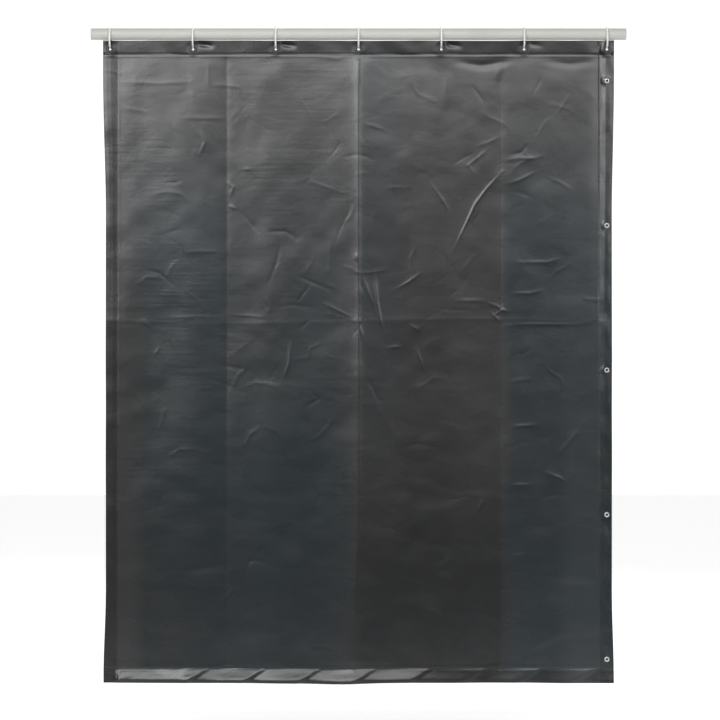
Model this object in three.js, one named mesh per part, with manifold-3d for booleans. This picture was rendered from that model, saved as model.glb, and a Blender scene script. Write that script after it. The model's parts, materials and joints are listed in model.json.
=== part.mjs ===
// Welding curtain screen: a hemmed PVC film hung by rings on a round rail.
// Millimetres, +Z up, +X along the rail, the front of the curtain faces -Y.
// The origin is on the rail's axis, half way along it.
import * as THREE from "three";
import { mergeVertices } from "three/addons/utils/BufferGeometryUtils.js";
import Module from "manifold-3d";

const wasm = await Module();
wasm.setup();

// Rail: a plain round tube with open ends, a little longer than the film is wide.
const RAIL_OVERHANG = 33;
const RAIL_RADIUS = 16;
const RAIL_WALL = 2;

// Film: one panel, folded back on itself and welded along all four edges.
const FILM_WIDTH = 1400;
const FILM_HEIGHT = 1760;
const FILM_THICKNESS = 0.4;
const HEM_WIDTH = 40;
const FILM_TO_RAIL_GAP = 1;

// Rings: split plastic rings, one at each eyelet.
const RING_COUNT = 7;
const RING_MEAN_RADIUS = 28.5;
const RING_WIRE_RADIUS = 2.5;
const RING_SPLIT = 0.6;
const RING_SPLIT_ANGLE = THREE.MathUtils.degToRad(20);

// Eyelets: a flanged barrel from the front, curled over a washer on the back.
const EYELET_EDGE_DISTANCE = 20;
const EYELET_BORE_RADIUS = 6;
const EYELET_BARREL_WALL = 0.6;
const EYELET_FLANGE_RADIUS = 11.5;
const EYELET_FLANGE_HEIGHT = 1.7;
const EYELET_CURL_WIDTH = 1.4;
const EYELET_CURL_HEIGHT = 0.7;
const WASHER_THICKNESS = 0.8;

// Snaps: a socket on the front of the right hem, riveted by a cap from the back.
const SNAP_COUNT = 5;
const SNAP_FIRST_DROP = 111;
const SNAP_LAST_RISE = 65;
const SNAP_EDGE_DISTANCE = 20;
const SNAP_RADIUS = 7.5;
const SNAP_SOCKET_HEIGHT = 3.2;
const SNAP_CAVITY_RADIUS = 3.3;
const SNAP_FLOOR = 0.8;
const SNAP_CAP_HEIGHT = 1.6;
const SNAP_POST_RADIUS = 1.9;
const SNAP_FLARE_RADIUS = 2.7;
const SNAP_FLARE_HEIGHT = 0.6;

// Clearances between pieces that touch.
const SEAT_GAP = 0.3;
const HOOK_GAP = 0.45;
const FOLD_GAP = 0.3;

// Layers of film in each zone.
const FIELD_LAYERS = 1;
const HEM_LAYERS = 2;
const CORNER_LAYERS = 4;

const RAIL_SIDES = 40;
const RING_SIDES = 8;
const RING_STEPS = 32;
const EYELET_SIDES = 24;
const SNAP_SIDES = 18;

// Levels and places that follow from the sizes above.
const RAIL_LENGTH = FILM_WIDTH + 2 * RAIL_OVERHANG;
const FILM_TOP = -RAIL_RADIUS - FILM_TO_RAIL_GAP;
const FILM_BOTTOM = FILM_TOP - FILM_HEIGHT;
const FILM_FRONT = -FILM_THICKNESS / 2;
const RING_CENTRE = RAIL_RADIUS + SEAT_GAP - (RING_MEAN_RADIUS - RING_WIRE_RADIUS);
const RING_HOOK_TOP = RING_CENTRE - RING_MEAN_RADIUS + RING_WIRE_RADIUS;
const EYELET_LEVEL = RING_HOOK_TOP + HOOK_GAP - EYELET_BORE_RADIUS;
const EYELET_BARREL_RADIUS = EYELET_BORE_RADIUS + EYELET_BARREL_WALL;
const RING_SPAN = FILM_WIDTH - 2 * EYELET_EDGE_DISTANCE;
const RING_PITCH = RING_SPAN / (RING_COUNT - 1);
const RING_STRIP_WIDTH = HEM_WIDTH;
const SNAP_SPAN = FILM_HEIGHT - SNAP_FIRST_DROP - SNAP_LAST_RISE;
const SNAP_PITCH = SNAP_SPAN / (SNAP_COUNT - 1);

const finishes = {
  film: { color: 0x3b4041, roughness: 0.38, metalness: 0 },
  rail: { color: 0xc4c4bd, roughness: 0.42, metalness: 0.35 },
  ring: { color: 0xf2f2ef, roughness: 0.3, metalness: 0 },
  eyelet: { color: 0xa9abac, roughness: 0.28, metalness: 0.9 },
  snap: { color: 0xd5d7d8, roughness: 0.22, metalness: 0.95 },
};

const filmBack = (layers) => FILM_FRONT + layers * FILM_THICKNESS;
const ringX = (number) => -RING_SPAN / 2 + (number - 1) * RING_PITCH;
const snapLevel = (number) => FILM_TOP - SNAP_FIRST_DROP - (number - 1) * SNAP_PITCH;
const numbers = (count) => Array.from({ length: count }, (_, i) => i + 1);

function piece(name, finish, geometry) {
  const material = new THREE.MeshStandardMaterial(finishes[finish]);
  const mesh = new THREE.Mesh(geometry, material);
  mesh.name = name;
  return mesh;
}

// A solid turned about the Y axis from a closed [radius, y] outline.
function turned(outline, sides) {
  const points = [...outline, outline[0]].map(([r, y]) => new THREE.Vector2(r, y));
  return new THREE.LatheGeometry(points, sides);
}

// A manifold solid from a closed geometry, and back to a geometry.
function toSolid(geometry) {
  const bare = geometry.clone();
  bare.deleteAttribute("normal");
  bare.deleteAttribute("uv");
  const merged = mergeVertices(bare, 1e-4);
  const vertProperties = merged.attributes.position.array;
  const triVerts = new Uint32Array(merged.index.array);
  return new wasm.Manifold(new wasm.Mesh({ numProp: 3, vertProperties, triVerts }));
}

function toGeometry(solid) {
  const { vertProperties, triVerts } = solid.getMesh();
  const geometry = new THREE.BufferGeometry();
  geometry.setAttribute("position", new THREE.BufferAttribute(vertProperties, 3));
  geometry.setIndex(new THREE.BufferAttribute(triVerts, 1));
  geometry.computeVertexNormals();
  return geometry;
}

// Rail ------------------------------------------------------------------
function makeRail() {
  const half = RAIL_LENGTH / 2;
  const bore = RAIL_RADIUS - RAIL_WALL;
  const outline = [[bore, -half], [RAIL_RADIUS, -half], [RAIL_RADIUS, half], [bore, half]];
  const rail = piece("rail_tube", "rail", turned(outline, RAIL_SIDES));
  rail.rotation.z = Math.PI / 2;
  return rail;
}

// Rings -----------------------------------------------------------------
// The arc runs once round in the YZ plane, between the two faces of the split.
class RingArc extends THREE.Curve {
  getPoint(t, target = new THREE.Vector3()) {
    const open = RING_SPLIT / RING_MEAN_RADIUS;
    const angle = -RING_SPLIT_ANGLE + open / 2 + t * (2 * Math.PI - open);
    const y = RING_MEAN_RADIUS * Math.cos(angle);
    const z = RING_MEAN_RADIUS * Math.sin(angle);
    return target.set(0, y, z);
  }
}

function ringGeometry() {
  const section = new THREE.Shape();
  for (let side = 0; side < RING_SIDES; side += 1) {
    const angle = (side / RING_SIDES) * 2 * Math.PI;
    const point = [RING_WIRE_RADIUS * Math.cos(angle), RING_WIRE_RADIUS * Math.sin(angle)];
    if (side === 0) section.moveTo(...point);
    else section.lineTo(...point);
  }
  section.closePath();
  const path = new RingArc();
  return new THREE.ExtrudeGeometry(section, { steps: RING_STEPS, extrudePath: path });
}

// Eyelets ---------------------------------------------------------------
// The washer lies on the film's back, and the barrel's curl lies on the washer.
function eyeletLevels(layers) {
  const flange = FILM_FRONT - SEAT_GAP;
  const washer = filmBack(layers) + SEAT_GAP;
  const curl = washer + WASHER_THICKNESS + SEAT_GAP;
  return { flange, washer, curl };
}

function eyeletGeometry(layers) {
  const { flange, curl } = eyeletLevels(layers);
  const crown = (EYELET_BORE_RADIUS + EYELET_FLANGE_RADIUS) / 2;
  const shoulder = flange - EYELET_FLANGE_HEIGHT * 0.8;
  const rim = flange - EYELET_FLANGE_HEIGHT * 0.3;
  const curlRadius = EYELET_BARREL_RADIUS + EYELET_CURL_WIDTH;
  return turned(
    [
      [EYELET_BORE_RADIUS, shoulder],
      [EYELET_BARREL_RADIUS, flange - EYELET_FLANGE_HEIGHT],
      [crown, flange - EYELET_FLANGE_HEIGHT],
      [(crown + EYELET_FLANGE_RADIUS) / 2, shoulder],
      [EYELET_FLANGE_RADIUS, rim],
      [EYELET_FLANGE_RADIUS, flange],
      [EYELET_BARREL_RADIUS, flange],
      [EYELET_BARREL_RADIUS, curl],
      [curlRadius, curl],
      [curlRadius - EYELET_BARREL_WALL, curl + EYELET_CURL_HEIGHT],
      [EYELET_BARREL_RADIUS, curl + EYELET_CURL_HEIGHT],
      [EYELET_BORE_RADIUS, curl + EYELET_CURL_HEIGHT / 2],
    ],
    EYELET_SIDES,
  );
}

function washerGeometry(layers) {
  const { washer } = eyeletLevels(layers);
  const hole = EYELET_BARREL_RADIUS + SEAT_GAP;
  const back = washer + WASHER_THICKNESS;
  return turned(
    [
      [hole, washer],
      [EYELET_FLANGE_RADIUS, washer],
      [EYELET_FLANGE_RADIUS - WASHER_THICKNESS / 2, back],
      [hole, back],
    ],
    EYELET_SIDES,
  );
}

// Snaps -----------------------------------------------------------------
// A socket has a floor with the post's hole and a cavity that opens to the front.
const SNAP_SEAT = FILM_FRONT - SEAT_GAP;
const SNAP_HOLE_RADIUS = SNAP_POST_RADIUS + SEAT_GAP;

function socketGeometry() {
  const top = SNAP_SEAT - SNAP_SOCKET_HEIGHT;
  const wall = SNAP_RADIUS - SNAP_CAVITY_RADIUS;
  return turned(
    [
      [SNAP_CAVITY_RADIUS, top + wall * 0.1],
      [SNAP_CAVITY_RADIUS + wall * 0.2, top],
      [SNAP_CAVITY_RADIUS + wall * 0.5, top],
      [SNAP_CAVITY_RADIUS + wall * 0.75, top + SNAP_SOCKET_HEIGHT * 0.3],
      [SNAP_RADIUS, SNAP_SEAT - SNAP_FLOOR],
      [SNAP_RADIUS, SNAP_SEAT],
      [SNAP_HOLE_RADIUS, SNAP_SEAT],
      [SNAP_HOLE_RADIUS, SNAP_SEAT - SNAP_FLOOR],
      [SNAP_CAVITY_RADIUS, SNAP_SEAT - SNAP_FLOOR],
    ],
    SNAP_SIDES,
  );
}

// The cap's post goes through the hem and the floor, and is flared inside the cavity.
function capGeometry() {
  const seat = filmBack(HEM_LAYERS) + SEAT_GAP;
  const flare = SNAP_SEAT - SNAP_FLOOR - SEAT_GAP;
  const outline = [
    [0, flare - SNAP_FLARE_HEIGHT],
    [SNAP_POST_RADIUS, flare - SNAP_FLARE_HEIGHT],
    [SNAP_FLARE_RADIUS, flare],
    [SNAP_POST_RADIUS, flare],
    [SNAP_POST_RADIUS, seat],
    [SNAP_RADIUS, seat],
    [SNAP_RADIUS * 0.95, seat + SNAP_CAP_HEIGHT * 0.5],
    [SNAP_RADIUS * 0.7, seat + SNAP_CAP_HEIGHT * 0.9],
    [0, seat + SNAP_CAP_HEIGHT],
  ];
  const points = outline.map(([r, y]) => new THREE.Vector2(r, y));
  return new THREE.LatheGeometry(points, SNAP_SIDES);
}

// Film ------------------------------------------------------------------
// The film is split where it folds when it is drawn, into upright strips. Each
// is its section in Y and Z, with a hem at the top and bottom, run along X.
function stripGeometry(width, fieldLayers, hemLayers) {
  const field = filmBack(fieldLayers);
  const hem = filmBack(hemLayers);
  const section = new THREE.Shape();
  section.moveTo(FILM_FRONT, FILM_BOTTOM);
  section.lineTo(hem, FILM_BOTTOM);
  section.lineTo(hem, FILM_BOTTOM + HEM_WIDTH);
  section.lineTo(field, FILM_BOTTOM + HEM_WIDTH);
  section.lineTo(field, FILM_TOP - HEM_WIDTH);
  section.lineTo(hem, FILM_TOP - HEM_WIDTH);
  section.lineTo(hem, FILM_TOP);
  section.lineTo(FILM_FRONT, FILM_TOP);
  section.closePath();
  const strip = new THREE.ExtrudeGeometry(section, { depth: width, bevelEnabled: false });
  const alongX = new THREE.Matrix4().makeBasis(
    new THREE.Vector3(0, 1, 0),
    new THREE.Vector3(0, 0, 1),
    new THREE.Vector3(1, 0, 0),
  );
  return strip.applyMatrix4(alongX);
}

// Punches round holes, given as {x, z, radius}, front to back through a strip.
function punched(strip, holes) {
  const depth = 20 * CORNER_LAYERS * FILM_THICKNESS;
  let solid = toSolid(strip);
  for (const { x, z, radius } of holes) {
    const tool = new THREE.CylinderGeometry(radius, radius, depth, EYELET_SIDES);
    tool.translate(x, 0, z);
    solid = solid.subtract(toSolid(tool));
  }
  return toGeometry(solid);
}

// A strip from one x to another, clear of its neighbours by half a fold gap.
function strip(name, from, to, layers, holes = []) {
  const start = from + FOLD_GAP / 2;
  const width = to - from - FOLD_GAP;
  const plain = stripGeometry(width, ...layers);
  const local = holes.map((hole) => ({ ...hole, x: hole.x - start }));
  const mesh = piece(name, "film", holes.length ? punched(plain, local) : plain);
  mesh.position.x = start;
  return mesh;
}

function makeRingStrip(number) {
  const x = ringX(number);
  const first = number === 1;
  const last = number === RING_COUNT;
  const from = first ? -FILM_WIDTH / 2 : x - RING_STRIP_WIDTH / 2;
  const to = last ? FILM_WIDTH / 2 : x + RING_STRIP_WIDTH / 2;
  const layers = first || last ? [HEM_LAYERS, CORNER_LAYERS] : [FIELD_LAYERS, HEM_LAYERS];
  const holes = [{ x, z: EYELET_LEVEL, radius: EYELET_BARREL_RADIUS + SEAT_GAP }];
  if (last) {
    const snapX = FILM_WIDTH / 2 - SNAP_EDGE_DISTANCE;
    for (const snap of numbers(SNAP_COUNT)) {
      holes.push({ x: snapX, z: snapLevel(snap), radius: SNAP_HOLE_RADIUS });
    }
  }
  return strip(`film_ring_strip_${number}`, from, to, layers, holes);
}

// The two halves of the film between one ring strip and the next.
function makeFoldStrips(number) {
  const from = ringX(number) + RING_STRIP_WIDTH / 2;
  const to = ringX(number + 1) - RING_STRIP_WIDTH / 2;
  const middle = (from + to) / 2;
  const layers = [FIELD_LAYERS, HEM_LAYERS];
  return [
    strip(`film_fold_${number}_left`, from, middle, layers),
    strip(`film_fold_${number}_right`, middle, to, layers),
  ];
}

// Assembly --------------------------------------------------------------
function makeRingSets() {
  const ring = ringGeometry();
  const eyelet = { inner: eyeletGeometry(HEM_LAYERS), outer: eyeletGeometry(CORNER_LAYERS) };
  const washer = { inner: washerGeometry(HEM_LAYERS), outer: washerGeometry(CORNER_LAYERS) };
  return numbers(RING_COUNT).map((number) => {
    const place = number === 1 || number === RING_COUNT ? "outer" : "inner";
    const set = new THREE.Group();
    const hanger = piece(`ring_${number}`, "ring", ring);
    hanger.position.z = RING_CENTRE;
    const barrel = piece(`eyelet_${number}`, "eyelet", eyelet[place]);
    const backing = piece(`eyelet_washer_${number}`, "eyelet", washer[place]);
    barrel.position.z = EYELET_LEVEL;
    backing.position.z = EYELET_LEVEL;
    set.position.x = ringX(number);
    set.add(hanger, barrel, backing);
    return set;
  });
}

function makeSnaps() {
  const socket = socketGeometry();
  const cap = capGeometry();
  return numbers(SNAP_COUNT).map((number) => {
    const snap = new THREE.Group();
    snap.position.set(FILM_WIDTH / 2 - SNAP_EDGE_DISTANCE, 0, snapLevel(number));
    snap.add(piece(`snap_socket_${number}`, "snap", socket));
    snap.add(piece(`snap_cap_${number}`, "snap", cap));
    return snap;
  });
}

const curtain = new THREE.Group();
curtain.add(makeRail(), ...makeRingSets(), ...makeSnaps());
curtain.add(...numbers(RING_COUNT).map(makeRingStrip));
curtain.add(...numbers(RING_COUNT - 1).flatMap(makeFoldStrips));

export default curtain;
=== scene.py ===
"""Welding curtain screen: a hemmed PVC film hung by split rings on a round rail."""

import json
import math

import bpy
import numpy as np
from bpy.props import FloatProperty, FloatVectorProperty, IntProperty, PointerProperty
from bpy.types import Operator, Panel, PropertyGroup
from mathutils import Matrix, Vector


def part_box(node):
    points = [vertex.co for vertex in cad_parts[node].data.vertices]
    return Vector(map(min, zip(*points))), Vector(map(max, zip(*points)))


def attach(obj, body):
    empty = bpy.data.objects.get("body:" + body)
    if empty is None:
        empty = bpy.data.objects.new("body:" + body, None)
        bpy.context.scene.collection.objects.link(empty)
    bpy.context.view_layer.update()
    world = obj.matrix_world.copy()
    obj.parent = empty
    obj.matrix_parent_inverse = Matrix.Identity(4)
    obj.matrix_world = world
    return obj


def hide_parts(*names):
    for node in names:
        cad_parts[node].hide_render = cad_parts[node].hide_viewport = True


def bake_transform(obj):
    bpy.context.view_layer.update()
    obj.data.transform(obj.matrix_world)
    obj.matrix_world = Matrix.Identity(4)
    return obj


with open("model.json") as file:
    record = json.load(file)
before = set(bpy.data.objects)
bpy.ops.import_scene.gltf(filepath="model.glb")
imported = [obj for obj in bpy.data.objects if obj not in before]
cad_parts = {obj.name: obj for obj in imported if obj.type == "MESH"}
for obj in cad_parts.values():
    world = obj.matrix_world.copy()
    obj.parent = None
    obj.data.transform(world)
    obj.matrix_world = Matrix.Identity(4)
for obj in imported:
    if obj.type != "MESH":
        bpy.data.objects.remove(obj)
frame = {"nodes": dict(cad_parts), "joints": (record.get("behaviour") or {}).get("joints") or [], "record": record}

bl_info = {
    "name": "Welding Curtain Screen",
    "version": (1, 0, 0),
    "blender": (4, 5, 0),
    "location": "View3D > Sidebar > Curtain",
    "description": "Dresses a hanging welding curtain: film, rings, eyelets, snaps and rail",
    "category": "Object",
}

MM = 0.001
RING_COUNT = sum(name.startswith("ring_station_") for name in frame["record"]["behaviour"]["bodies"])
GAP_COUNT = RING_COUNT - 1
SNAP_COUNT = sum(name.startswith("snap_socket_") for name in frame["nodes"])
SEED = 11
ON_AXIS = 1e-7


# --- Places that follow from the frame
def centre(node):
    low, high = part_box(node)
    return (low + high) / 2


def ring_x(number):
    return centre(f"eyelet_{number}").x


RAIL_LOW, RAIL_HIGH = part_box("rail_tube")
LEFT, _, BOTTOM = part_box("film_ring_strip_1")[0]
RIGHT, _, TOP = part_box(f"film_ring_strip_{RING_COUNT}")[1]
RING_LOW, RING_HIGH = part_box("ring_1")
FLANGE_LOW, FLANGE_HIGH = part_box("eyelet_2")
SOCKET_LOW, SOCKET_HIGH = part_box("snap_socket_1")
CAP_LOW, CAP_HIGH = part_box("snap_cap_1")

CAP_POST_REACH = 2.8 * MM
EYELET_Z = centre("eyelet_2").z
SNAP_X = centre("snap_socket_1").x
SNAP_TOP_Z = centre("snap_socket_1").z
SNAP_PITCH = SNAP_TOP_Z - centre("snap_socket_2").z
HINGE_X = sorted(joint["pos_m"][0] for joint in frame["joints"] if abs(joint["axis"][2]) > 0.5)


# --- Sizes and colours that can be set
def length(name, description, default):
    return FloatProperty(name=name, description=description, default=default, unit="LENGTH")


def tint(name, description, default):
    return FloatVectorProperty(name=name, description=description, default=default, subtype="COLOR")


class RailSettings(PropertyGroup):
    radius: length("Radius", "Outside radius of the tube", RAIL_HIGH.z)
    wall: length("Wall", "Thickness of the tube", 2 * MM)
    edge: length("Edge", "Rounding of the cut ends", 0.5 * MM)
    colour: tint("Colour", "Zinc grey of the tube", (0.58, 0.58, 0.545))


class RingSettings(PropertyGroup):
    wire_radius: length("Wire Radius", "Half the ring's thickness", 2.5 * MM)
    split: length("Split", "Width of the opening the ring is threaded through", 0.6 * MM)
    split_angle: FloatProperty(
        name="Split Angle", description="How far below level the split is, at the back", default=math.radians(20),
        subtype="ANGLE",
    )
    colour: tint("Colour", "White of the moulded rings", (0.86, 0.86, 0.84))


class EyeletSettings(PropertyGroup):
    bore: length("Bore", "Radius inside the barrel", 6 * MM)
    mouth: length("Mouth", "Radius that the front lip is rolled in to", 3.2 * MM)
    barrel_wall: length("Barrel Wall", "Thickness of the barrel", 0.6 * MM)
    colour: tint("Colour", "Dark grey of the plated eyelets", (0.045, 0.045, 0.047))


class SnapSettings(PropertyGroup):
    count: IntProperty(name="Count", description="Snaps on the right hem", default=SNAP_COUNT, min=1)
    pitch: length("Pitch", "Distance from snap to snap", SNAP_PITCH)
    cavity: length("Cavity", "Radius of the socket's cavity", 3.3 * MM)
    colour: tint("Colour", "Bright nickel of the snaps", (0.62, 0.62, 0.61))


class FilmSettings(PropertyGroup):
    layer: length("Layer", "Thickness of one layer of film", 0.4 * MM)
    hem: length("Hem", "Width of the welded hems", 40 * MM)
    spacing: length("Spacing", "Distance between mesh points", 3.0 * MM)
    drape_top: length("Top Drape", "How far the film hangs back between rings at the top", 1.0 * MM)
    drape_bottom: length("Bottom Drape", "How far the film hangs back between rings at the bottom", 2.6 * MM)
    crease_height: length("Crease Height", "Height of the strongest handling crease", 1.15 * MM)
    colour: tint("Colour", "Dark tint of the film", (0.022, 0.022, 0.022))
    cool_colour: tint("Cool Colour", "Green-blue tint in parts of the film", (0.011, 0.019, 0.023))


class StageSettings(PropertyGroup):
    floor_drop: length("Floor Drop", "Gap from the curtain's bottom to the floor", 60 * MM)
    camera_distance: length("Camera Distance", "From the curtain to the camera", 9.0)
    view_width: length("View Width", "Width that the camera takes in at the curtain", 1.972)


# --- Shader maths
def both_ways(operation):
    """An operator that adds a Math node, and its reflected form."""
    return (
        lambda self, other: self.math(operation, self, other),
        lambda self, other: self.math(operation, other, self),
    )


class Wire:
    """A node's output, which takes part in expressions."""

    def __init__(self, shader, socket):
        self.shader, self.socket = shader, socket

    def math(self, operation, *values):
        return self.shader.node("ShaderNodeMath", {"operation": operation}, values)

    __add__, __radd__ = both_ways("ADD")
    __sub__, __rsub__ = both_ways("SUBTRACT")
    __mul__, __rmul__ = both_ways("MULTIPLY")

    def abs(self):
        return self.math("ABSOLUTE", self)

    def sin(self):
        return self.math("SINE", self)

    def smooth(self, low, high):
        """0 below low, 1 above high, and a smooth step between them."""
        settings = {"interpolation_type": "SMOOTHSTEP"}
        return self.shader.node("ShaderNodeMapRange", settings, {"Value": self, "From Min": low, "From Max": high})


class Shader:
    """Builds the nodes of one material or world."""

    def __init__(self, name, kind="materials"):
        self.owner = getattr(bpy.data, kind).new(name)
        self.owner.use_nodes = True
        self.tree = self.owner.node_tree
        self.tree.nodes.clear()

    def node(self, kind, settings=None, inputs=(), output=0):
        made = self.tree.nodes.new(kind)
        for key, value in (settings or {}).items():
            setattr(made, key, value)
        pairs = inputs.items() if isinstance(inputs, dict) else enumerate(inputs)
        for key, value in pairs:
            self.feed(made.inputs[key], value)
        return Wire(self, made.outputs[output])

    def feed(self, socket, value):
        if isinstance(value, Wire):
            self.tree.links.new(value.socket, socket)
        elif hasattr(value, "__len__") and socket.type == "RGBA" and len(value) == 3:
            socket.default_value = (*value, 1)
        else:
            socket.default_value = value

    def place(self, scale):
        coordinates = self.node("ShaderNodeTexCoord", output="Object")
        return self.node("ShaderNodeMapping", inputs={"Vector": coordinates, "Scale": scale})

    def axes(self, kind="Object"):
        split = self.node("ShaderNodeSeparateXYZ", inputs=[self.node("ShaderNodeTexCoord", output=kind)])
        outputs = split.socket.node.outputs
        return [Wire(self, outputs[axis]) for axis in "XYZ"]

    def noise(self, scale, detail=2, stretch=(1, 1, 1), distortion=0.0):
        values = {"Vector": self.place(stretch), "Scale": scale, "Detail": detail, "Distortion": distortion}
        return self.node("ShaderNodeTexNoise", {"noise_dimensions": "3D"}, values)

    def mix(self, factor, first, second):
        return self.node("ShaderNodeMix", {"data_type": "RGBA"}, {"Factor": factor, 6: first, 7: second}, output=2)

    def bump(self, height):
        return self.node("ShaderNodeBump", inputs={"Height": height, "Strength": 1.0, "Distance": 1.0})

    def finish(self, shading, kind="ShaderNodeOutputMaterial"):
        output = self.tree.nodes.new(kind)
        self.feed(output.inputs["Surface"], shading)
        return self.owner

    def surface(self, **values):
        inputs = {key.replace("_", " "): value for key, value in values.items()}
        return self.finish(self.node("ShaderNodeBsdfPrincipled", inputs=inputs))


def film_material(settings):
    """Satin tinted PVC: cloudy tint, painted shade on the doubled hems, low down and right of the centre, painted light
    low down at the right, dust smears, long ripples and ribbed welds.
    """
    shader = Shader("film_pvc")
    x, _, z = shader.axes()
    cloud = shader.noise(2.1, 3, (1, 1, 0.6), 0.5)
    smear = shader.noise(7.0, 4, (1, 1, 2.2), 0.8)
    from_edges = [x - LEFT, RIGHT - x, TOP - z, z - BOTTOM]

    # The tint is cool in the left and right panels, less so in the second panel and towards the top.
    left_panel = (x + 0.66 + 0.10 * cloud).smooth(0.05, 0.13) * (1 - (x + 0.03).smooth(-0.05, 0.05) * 0.75)
    right_panel = (x - 0.40 + 0.05 * cloud).smooth(0.0, 0.05)
    upper = (z + 0.30 + 0.25 * cloud).smooth(-0.12, 0.25)
    panels = left_panel * (1 - x.smooth(-0.03, 0.0)) + right_panel
    cool = panels * (0.55 + 0.9 * (cloud - 0.5)) * (1 - 0.75 * upper)
    second_panel = (x + 0.364).smooth(-0.003, 0.003) * (1 - (x - 0.2).smooth(-0.1, 0.1))
    cool = cool * (1 - 0.4 * second_panel * (z + 1.1).smooth(-0.3, 0.3))
    cool_tint = settings.cool_colour
    colour = shader.mix(cool.smooth(0.0, 0.75), settings.colour, cool_tint)

    # Painted shade darkens it low down, in the doubled hems, where it stands for less light coming through them, and in
    # a band right of the centre; painted light lightens it low down at the right, and dust smears lie all over.
    off_left = (x + 0.60).smooth(-0.02, 0.02)
    # Painted shade: darker towards the bottom, away from the left edge.
    low = (1 - (z + 1.35).smooth(-0.35, 0.35)) * off_left * (1 - 0.75 * right_panel)
    neutral = (x + 0.02).smooth(-0.03, 0.03) * (1 - right_panel)
    colour = shader.mix(low * (0.42 + 0.38 * neutral), colour, (0.004, 0.005, 0.006))
    beside_centre = x.smooth(-0.004, 0.004) * (1 - (x - 0.10).smooth(-0.05, 0.05)) * (z + 1.0).smooth(-0.3, 0.3)
    colour = shader.mix(beside_centre * 0.5, colour, cool_tint)
    hem_step = 0.4 * MM
    left, right, top, bottom = (1 - (away - settings.hem).smooth(-hem_step, hem_step) for away in from_edges)
    # Painted shade on the doubled hems, for the light they let through less, and in a band right of the centre.
    doubled = left + 0.35 * right + top + bottom
    right_of_centre = 1 - (x - 0.18).abs().smooth(0.03, 0.10)
    with_painted_shade = shader.mix(doubled * 0.55 + right_of_centre * 0.28, colour, (0.004, 0.0045, 0.005))
    # Painted light: the lower right of the field is lightened, away from the right hem; the smears below are dust.
    painted_light_side = (x - 0.53).smooth(0.0, 0.06) * (1 - (z + 0.35).smooth(-0.15, 0.15)) * (1 - 0.98 * right)
    dust_and_painted_light = smear.smooth(0.55, 0.85) * 0.12 + painted_light_side * 0.13
    colour_with_dust_and_painted_light = shader.mix(dust_and_painted_light, with_painted_shade, (0.075, 0.079, 0.081))
    roughness = 0.20 + 0.10 * smear + 0.05 * cloud

    peel = shader.noise(420, 1) * (0.010 * MM)
    rumple = shader.noise(13, 3, (1, 1, 1.2), 0.4) * (0.8 * MM)
    strength = shader.noise(3.2, 2, (1, 1, 1.4)).smooth(0.42, 0.66) * (1 - 0.6 * (x + 0.1).smooth(-0.1, 0.2))
    drawn = shader.noise(1.0, 3, (5.0, 1, 85), 0.25) * strength * (0.27 * MM)
    rib_pitch, weld_half = 2.2 * MM, 2.2 * MM
    ribs = ((x + z) * (2 * math.pi / rib_pitch)).sin()
    weld_line = settings.hem - 2 * MM
    welds = [1 - (away - weld_line).abs().smooth(weld_half * 0.8, weld_half) for away in from_edges]
    ribbed = ribs * (welds[0] + welds[1] + welds[2] + welds[3]) * (0.03 * MM)
    height = peel + rumple + drawn + ribbed
    return shader.surface(Base_Color=colour_with_dust_and_painted_light, Roughness=roughness, IOR=1.5, Normal=shader.bump(height))


def rail_material(settings):
    """Dull zinc-coated steel, drawn lengthwise, with a few handling marks."""
    shader = Shader("rail_zinc")
    drawn = shader.noise(60, 3, (0.03, 1, 1))
    spangle = shader.noise(38, 3, (0.6, 1, 1))
    scuff = shader.noise(9, 5, (0.5, 1, 1)).smooth(0.60, 0.72)
    base = shader.mix(drawn * 0.5 + spangle * 0.5, tuple(0.93 * c for c in settings.colour), settings.colour)
    marked = shader.mix(scuff * 0.18, base, (0.40, 0.40, 0.38))
    roughness = 0.50 + 0.12 * spangle + 0.1 * scuff
    normal = shader.bump(drawn * (0.004 * MM) + spangle * (0.005 * MM))
    return shader.surface(Base_Color=marked, Roughness=roughness, Metallic=0.05, Specular_IOR_Level=0.25, Normal=normal)


def ring_material(settings):
    """White moulded plastic, slightly dulled where it slides on the rail."""
    shader = Shader("ring_plastic")
    grain = shader.noise(900, 2)
    handled = shader.noise(60, 3)
    colour = shader.mix(handled.smooth(0.45, 0.8) * 0.3, settings.colour, (0.74, 0.74, 0.71))
    normal = shader.bump(grain * (0.01 * MM))
    return shader.surface(Base_Color=colour, Roughness=0.28 + 0.1 * handled, IOR=1.5, Coat_Weight=0.15, Normal=normal)


def eyelet_material(settings):
    """Dark plating on rolled steel, dulled and a little patchy."""
    shader = Shader("eyelet_plating")
    tarnish = shader.noise(160, 4)
    scratch = shader.noise(700, 2, (1, 1, 0.2))
    colour = shader.mix(tarnish.smooth(0.45, 0.75) * 0.5, settings.colour, (0.085, 0.085, 0.083))
    roughness = 0.30 + 0.14 * tarnish + 0.06 * scratch
    return shader.surface(
        Base_Color=colour, Roughness=roughness, Metallic=1.0, Normal=shader.bump(scratch * (0.01 * MM))
    )


def snap_material(settings):
    """Bright nickel, a little worn on the rim, with painted shade in the socket's cavity and on the cap's post."""
    shader = Shader("snap_nickel")
    wear = shader.noise(260, 3)
    recess_shade = shader.node("ShaderNodeAttribute", {"attribute_name": "recess_shade"}, output=2)
    worn = shader.mix(wear.smooth(0.5, 0.8) * 0.35, settings.colour, (0.5, 0.5, 0.5))
    # Painted shade: the marked recess is darkened to near black.
    colour = shader.mix(recess_shade, worn, (0.03, 0.03, 0.03))
    normal = shader.bump(wear * (0.004 * MM))
    return shader.surface(Base_Color=colour, Roughness=0.36 + 0.10 * wear, Metallic=0.8, Normal=normal)


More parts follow.
